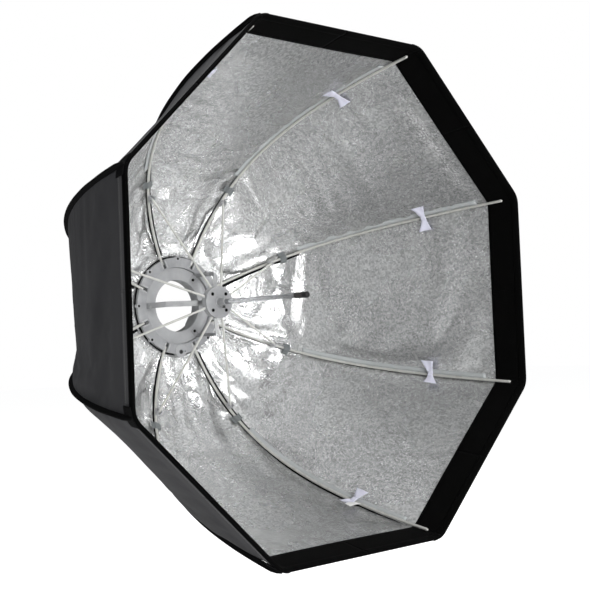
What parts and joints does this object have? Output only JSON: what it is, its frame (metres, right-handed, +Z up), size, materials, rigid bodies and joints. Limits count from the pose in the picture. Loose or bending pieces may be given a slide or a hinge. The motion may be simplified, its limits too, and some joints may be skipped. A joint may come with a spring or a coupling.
{
  "type": "octabox",
  "caption": "Eight-sided folding softbox: bayonet speedring, curved ribs, sliding runner with stretchers, silver-lined black cloth and a front lip.",
  "frame": {"origin": "centre of the bayonet plate's rear face, where the lamp head is fastened", "axes": "+Y points back towards the lamp, the light goes to -Y, +Z is up, X is across"},
  "size_m": [0.803, 0.5256, 0.803],
  "materials": {
    "grey_painted_casting": "light grey satin paint over cast aluminium",
    "grey_plate": "light grey satin paint over turned aluminium",
    "chromed_steel": "bright chrome on drawn steel",
    "black_plastic": "black moulded plastic, semi-matte",
    "black_screw": "blackened steel",
    "ivory_rod": "ivory white coating on spring steel rod",
    "silver_lined_cloth": "charcoal woven polyester outside, metallised silver lining inside, black front lip",
    "black_webbing": "black polyester webbing"
  },
  "bodies": {
    "speedring": {"front_flange": "grey_painted_casting", "rear_ring": "grey_painted_casting", "bayonet_plate": "grey_plate", "rib_hinge_wire": "chromed_steel", "throat_hem": "black_webbing", "bracket_leg_left": "grey_painted_casting", "bracket_leg_upper": "grey_painted_casting", "bracket_leg_lower": "grey_painted_casting", "shaft_socket": "grey_painted_casting", "shaft": "chromed_steel", "shaft_cap": "black_plastic"},
    "runner": {"runner_rear_plate": "grey_painted_casting", "runner_front_plate": "grey_painted_casting", "stretcher_wire": "chromed_steel", "runner_collar": "grey_painted_casting", "runner_screw_1": "black_screw", "runner_screw_2": "black_screw", "runner_screw_3": "black_screw", "runner_screw_4": "black_screw"},
    "latch": {"latch_button": "black_plastic"},
    "rib_1": {"rib_1": "ivory_rod", "stretcher_fork_1": "grey_painted_casting"},
    "stretcher_1": {"stretcher_1": "ivory_rod"},
    "rib_2": {"rib_2": "ivory_rod", "stretcher_fork_2": "grey_painted_casting"},
    "stretcher_2": {"stretcher_2": "ivory_rod"},
    "rib_3": {"rib_3": "ivory_rod", "stretcher_fork_3": "grey_painted_casting"},
    "stretcher_3": {"stretcher_3": "ivory_rod"},
    "rib_4": {"rib_4": "ivory_rod", "stretcher_fork_4": "grey_painted_casting"},
    "stretcher_4": {"stretcher_4": "ivory_rod"},
    "rib_5": {"rib_5": "ivory_rod", "stretcher_fork_5": "grey_painted_casting"},
    "stretcher_5": {"stretcher_5": "ivory_rod"},
    "rib_6": {"rib_6": "ivory_rod", "stretcher_fork_6": "grey_painted_casting"},
    "stretcher_6": {"stretcher_6": "ivory_rod"},
    "rib_7": {"rib_7": "ivory_rod", "stretcher_fork_7": "grey_painted_casting"},
    "stretcher_7": {"stretcher_7": "ivory_rod"},
    "rib_8": {"rib_8": "ivory_rod", "stretcher_fork_8": "grey_painted_casting"},
    "stretcher_8": {"stretcher_8": "ivory_rod"},
    "gore_1_first_half": {"gore_1_first_half": "silver_lined_cloth"},
    "gore_8_second_half": {"gore_8_second_half": "silver_lined_cloth"},
    "gore_2_first_half": {"gore_2_first_half": "silver_lined_cloth"},
    "gore_1_second_half": {"gore_1_second_half": "silver_lined_cloth"},
    "gore_3_first_half": {"gore_3_first_half": "silver_lined_cloth"},
    "gore_2_second_half": {"gore_2_second_half": "silver_lined_cloth"},
    "gore_4_first_half": {"gore_4_first_half": "silver_lined_cloth"},
    "gore_3_second_half": {"gore_3_second_half": "silver_lined_cloth"},
    "gore_5_first_half": {"gore_5_first_half": "silver_lined_cloth"},
    "gore_4_second_half": {"gore_4_second_half": "silver_lined_cloth"},
    "gore_6_first_half": {"gore_6_first_half": "silver_lined_cloth"},
    "gore_5_second_half": {"gore_5_second_half": "silver_lined_cloth"},
    "gore_7_first_half": {"gore_7_first_half": "silver_lined_cloth"},
    "gore_6_second_half": {"gore_6_second_half": "silver_lined_cloth"},
    "gore_8_first_half": {"gore_8_first_half": "silver_lined_cloth"},
    "gore_7_second_half": {"gore_7_second_half": "silver_lined_cloth"}
  },
  "joints": [
    {"name": "runner_slide", "type": "slide", "parent": "speedring", "child": "runner", "axis": [0, -1, 0], "range_m": [0, 0.1417]},
    {"name": "latch_press", "type": "slide", "parent": "runner", "child": "latch", "axis": [0, 0, 1], "range_m": [0, 0.0015], "stiffness_N_per_m": 300, "springref_m": -0.001},
    {"name": "rib_1_hinge", "type": "hinge", "parent": "speedring", "child": "rib_1", "pos_m": [0.07391, -0.026, 0.03061], "axis": [0.3827, 0, -0.9239], "range_deg": [0, 38.1]},
    {"name": "stretcher_1_hinge", "type": "hinge", "parent": "runner", "child": "stretcher_1", "pos_m": [0.02356, -0.152, 0.00976], "axis": [0.3827, 0, -0.9239], "range_deg": [-27.64, 0]},
    {"name": "rib_2_hinge", "type": "hinge", "parent": "speedring", "child": "rib_2", "pos_m": [0.03061, -0.026, 0.07391], "axis": [0.9239, 0, -0.3827], "range_deg": [0, 38.1]},
    {"name": "stretcher_2_hinge", "type": "hinge", "parent": "runner", "child": "stretcher_2", "pos_m": [0.00976, -0.152, 0.02356], "axis": [0.9239, 0, -0.3827], "range_deg": [-27.64, 0]},
    {"name": "rib_3_hinge", "type": "hinge", "parent": "speedring", "child": "rib_3", "pos_m": [-0.03061, -0.026, 0.07391], "axis": [0.9239, 0, 0.3827], "range_deg": [0, 38.1]},
    {"name": "stretcher_3_hinge", "type": "hinge", "parent": "runner", "child": "stretcher_3", "pos_m": [-0.00976, -0.152, 0.02356], "axis": [0.9239, 0, 0.3827], "range_deg": [-27.64, 0]},
    {"name": "rib_4_hinge", "type": "hinge", "parent": "speedring", "child": "rib_4", "pos_m": [-0.07391, -0.026, 0.03061], "axis": [0.3827, 0, 0.9239], "range_deg": [0, 38.1]},
    {"name": "stretcher_4_hinge", "type": "hinge", "parent": "runner", "child": "stretcher_4", "pos_m": [-0.02356, -0.152, 0.00976], "axis": [0.3827, 0, 0.9239], "range_deg": [-27.64, 0]},
    {"name": "rib_5_hinge", "type": "hinge", "parent": "speedring", "child": "rib_5", "pos_m": [-0.07391, -0.026, -0.03061], "axis": [-0.3827, 0, 0.9239], "range_deg": [0, 38.1]},
    {"name": "stretcher_5_hinge", "type": "hinge", "parent": "runner", "child": "stretcher_5", "pos_m": [-0.02356, -0.152, -0.00976], "axis": [-0.3827, 0, 0.9239], "range_deg": [-27.64, 0]},
    {"name": "rib_6_hinge", "type": "hinge", "parent": "speedring", "child": "rib_6", "pos_m": [-0.03061, -0.026, -0.07391], "axis": [-0.9239, 0, 0.3827], "range_deg": [0, 38.1]},
    {"name": "stretcher_6_hinge", "type": "hinge", "parent": "runner", "child": "stretcher_6", "pos_m": [-0.00976, -0.152, -0.02356], "axis": [-0.9239, 0, 0.3827], "range_deg": [-27.64, 0]},
    {"name": "rib_7_hinge", "type": "hinge", "parent": "speedring", "child": "rib_7", "pos_m": [0.03061, -0.026, -0.07391], "axis": [-0.9239, 0, -0.3827], "range_deg": [0, 38.1]},
    {"name": "stretcher_7_hinge", "type": "hinge", "parent": "runner", "child": "stretcher_7", "pos_m": [0.00976, -0.152, -0.02356], "axis": [-0.9239, 0, -0.3827], "range_deg": [-27.64, 0]},
    {"name": "rib_8_hinge", "type": "hinge", "parent": "speedring", "child": "rib_8", "pos_m": [0.07391, -0.026, -0.03061], "axis": [-0.3827, 0, -0.9239], "range_deg": [0, 38.1]},
    {"name": "stretcher_8_hinge", "type": "hinge", "parent": "runner", "child": "stretcher_8", "pos_m": [0.02356, -0.152, -0.00976], "axis": [-0.3827, 0, -0.9239], "range_deg": [-27.64, 0]},
    {"name": "gore_1_first_fold", "type": "hinge", "parent": "rib_1", "child": "gore_1_first_half", "pos_m": [-0.10202, -0.07, -0.00979], "axis": [-0.207, 0.266, 0.9415], "range_deg": [0, 20.25], "deforming": ["gore_1_first_half"]},
    {"name": "gore_8_second_fold", "type": "hinge", "parent": "rib_1", "child": "gore_8_second_half", "pos_m": [-0.07906, -0.07, -0.06522], "axis": [-0.5193, -0.266, 0.8121], "range_deg": [0, 20.25], "deforming": ["gore_8_second_half"]},
    {"name": "gore_2_first_fold", "type": "hinge", "parent": "rib_2", "child": "gore_2_first_half", "pos_m": [-0.06522, -0.07, -0.07906], "axis": [-0.8121, 0.266, 0.5193], "range_deg": [0, 20.25], "deforming": ["gore_2_first_half"]},
    {"name": "gore_1_second_fold", "type": "hinge", "parent": "rib_2", "child": "gore_1_second_half", "pos_m": [-0.00979, -0.07, -0.10202], "axis": [-0.9415, -0.266, 0.207], "range_deg": [0, 20.25], "deforming": ["gore_1_second_half"]},
    {"name": "gore_3_first_fold", "type": "hinge", "parent": "rib_3", "child": "gore_3_first_half", "pos_m": [0.00979, -0.07, -0.10202], "axis": [-0.9415, 0.266, -0.207], "range_deg": [0, 20.25], "deforming": ["gore_3_first_half"]},
    {"name": "gore_2_second_fold", "type": "hinge", "parent": "rib_3", "child": "gore_2_second_half", "pos_m": [0.06522, -0.07, -0.07906], "axis": [-0.8121, -0.266, -0.5193], "range_deg": [0, 20.25], "deforming": ["gore_2_second_half"]},
    {"name": "gore_4_first_fold", "type": "hinge", "parent": "rib_4", "child": "gore_4_first_half", "pos_m": [0.07906, -0.07, -0.06522], "axis": [-0.5193, 0.266, -0.8121], "range_deg": [0, 20.25], "deforming": ["gore_4_first_half"]},
    {"name": "gore_3_second_fold", "type": "hinge", "parent": "rib_4", "child": "gore_3_second_half", "pos_m": [0.10202, -0.07, -0.00979], "axis": [-0.207, -0.266, -0.9415], "range_deg": [0, 20.25], "deforming": ["gore_3_second_half"]},
    {"name": "gore_5_first_fold", "type": "hinge", "parent": "rib_5", "child": "gore_5_first_half", "pos_m": [0.10202, -0.07, 0.00979], "axis": [0.207, 0.266, -0.9415], "range_deg": [0, 20.25], "deforming": ["gore_5_first_half"]},
    {"name": "gore_4_second_fold", "type": "hinge", "parent": "rib_5", "child": "gore_4_second_half", "pos_m": [0.07906, -0.07, 0.06522], "axis": [0.5193, -0.266, -0.8121], "range_deg": [0, 20.25], "deforming": ["gore_4_second_half"]},
    {"name": "gore_6_first_fold", "type": "hinge", "parent": "rib_6", "child": "gore_6_first_half", "pos_m": [0.06522, -0.07, 0.07906], "axis": [0.8121, 0.266, -0.5193], "range_deg": [0, 20.25], "deforming": ["gore_6_first_half"]},
    {"name": "gore_5_second_fold", "type": "hinge", "parent": "rib_6", "child": "gore_5_second_half", "pos_m": [0.00979, -0.07, 0.10202], "axis": [0.9415, -0.266, -0.207], "range_deg": [0, 20.25], "deforming": ["gore_5_second_half"]},
    {"name": "gore_7_first_fold", "type": "hinge", "parent": "rib_7", "child": "gore_7_first_half", "pos_m": [-0.00979, -0.07, 0.10202], "axis": [0.9415, 0.266, 0.207], "range_deg": [0, 20.25], "deforming": ["gore_7_first_half"]},
    {"name": "gore_6_second_fold", "type": "hinge", "parent": "rib_7", "child": "gore_6_second_half", "pos_m": [-0.06522, -0.07, 0.07906], "axis": [0.8121, -0.266, 0.5193], "range_deg": [0, 20.25], "deforming": ["gore_6_second_half"]},
    {"name": "gore_8_first_fold", "type": "hinge", "parent": "rib_8", "child": "gore_8_first_half", "pos_m": [-0.07906, -0.07, 0.06522], "axis": [0.5193, 0.266, 0.8121], "range_deg": [0, 20.25], "deforming": ["gore_8_first_half"]},
    {"name": "gore_7_second_fold", "type": "hinge", "parent": "rib_8", "child": "gore_7_second_half", "pos_m": [-0.10202, -0.07, 0.00979], "axis": [0.207, -0.266, 0.9415], "range_deg": [0, 20.25], "deforming": ["gore_7_second_half"]}
  ],
  "couplings": [
    {"joint": "rib_1_hinge", "follows": "runner_slide", "rad_per_m": 4.6805},
    {"joint": "stretcher_1_hinge", "follows": "runner_slide", "rad_per_m": -3.3921},
    {"joint": "rib_2_hinge", "follows": "runner_slide", "rad_per_m": 4.6805},
    {"joint": "stretcher_2_hinge", "follows": "runner_slide", "rad_per_m": -3.3921},
    {"joint": "rib_3_hinge", "follows": "runner_slide", "rad_per_m": 4.6805},
    {"joint": "stretcher_3_hinge", "follows": "runner_slide", "rad_per_m": -3.3921},
    {"joint": "rib_4_hinge", "follows": "runner_slide", "rad_per_m": 4.6805},
    {"joint": "stretcher_4_hinge", "follows": "runner_slide", "rad_per_m": -3.3921},
    {"joint": "rib_5_hinge", "follows": "runner_slide", "rad_per_m": 4.6805},
    {"joint": "stretcher_5_hinge", "follows": "runner_slide", "rad_per_m": -3.3921},
    {"joint": "rib_6_hinge", "follows": "runner_slide", "rad_per_m": 4.6805},
    {"joint": "stretcher_6_hinge", "follows": "runner_slide", "rad_per_m": -3.3921},
    {"joint": "rib_7_hinge", "follows": "runner_slide", "rad_per_m": 4.6805},
    {"joint": "stretcher_7_hinge", "follows": "runner_slide", "rad_per_m": -3.3921},
    {"joint": "rib_8_hinge", "follows": "runner_slide", "rad_per_m": 4.6805},
    {"joint": "stretcher_8_hinge", "follows": "runner_slide", "rad_per_m": -3.3921},
    {"joint": "gore_1_first_fold", "follows": "runner_slide", "rad_per_m": 2.4819},
    {"joint": "gore_8_second_fold", "follows": "runner_slide", "rad_per_m": 2.4819},
    {"joint": "gore_2_first_fold", "follows": "runner_slide", "rad_per_m": 2.4819},
    {"joint": "gore_1_second_fold", "follows": "runner_slide", "rad_per_m": 2.4819},
    {"joint": "gore_3_first_fold", "follows": "runner_slide", "rad_per_m": 2.4819},
    {"joint": "gore_2_second_fold", "follows": "runner_slide", "rad_per_m": 2.4819},
    {"joint": "gore_4_first_fold", "follows": "runner_slide", "rad_per_m": 2.4819},
    {"joint": "gore_3_second_fold", "follows": "runner_slide", "rad_per_m": 2.4819},
    {"joint": "gore_5_first_fold", "follows": "runner_slide", "rad_per_m": 2.4819},
    {"joint": "gore_4_second_fold", "follows": "runner_slide", "rad_per_m": 2.4819},
    {"joint": "gore_6_first_fold", "follows": "runner_slide", "rad_per_m": 2.4819},
    {"joint": "gore_5_second_fold", "follows": "runner_slide", "rad_per_m": 2.4819},
    {"joint": "gore_7_first_fold", "follows": "runner_slide", "rad_per_m": 2.4819},
    {"joint": "gore_6_second_fold", "follows": "runner_slide", "rad_per_m": 2.4819},
    {"joint": "gore_8_first_fold", "follows": "runner_slide", "rad_per_m": 2.4819},
    {"joint": "gore_7_second_fold", "follows": "runner_slide", "rad_per_m": 2.4819}
  ]
}
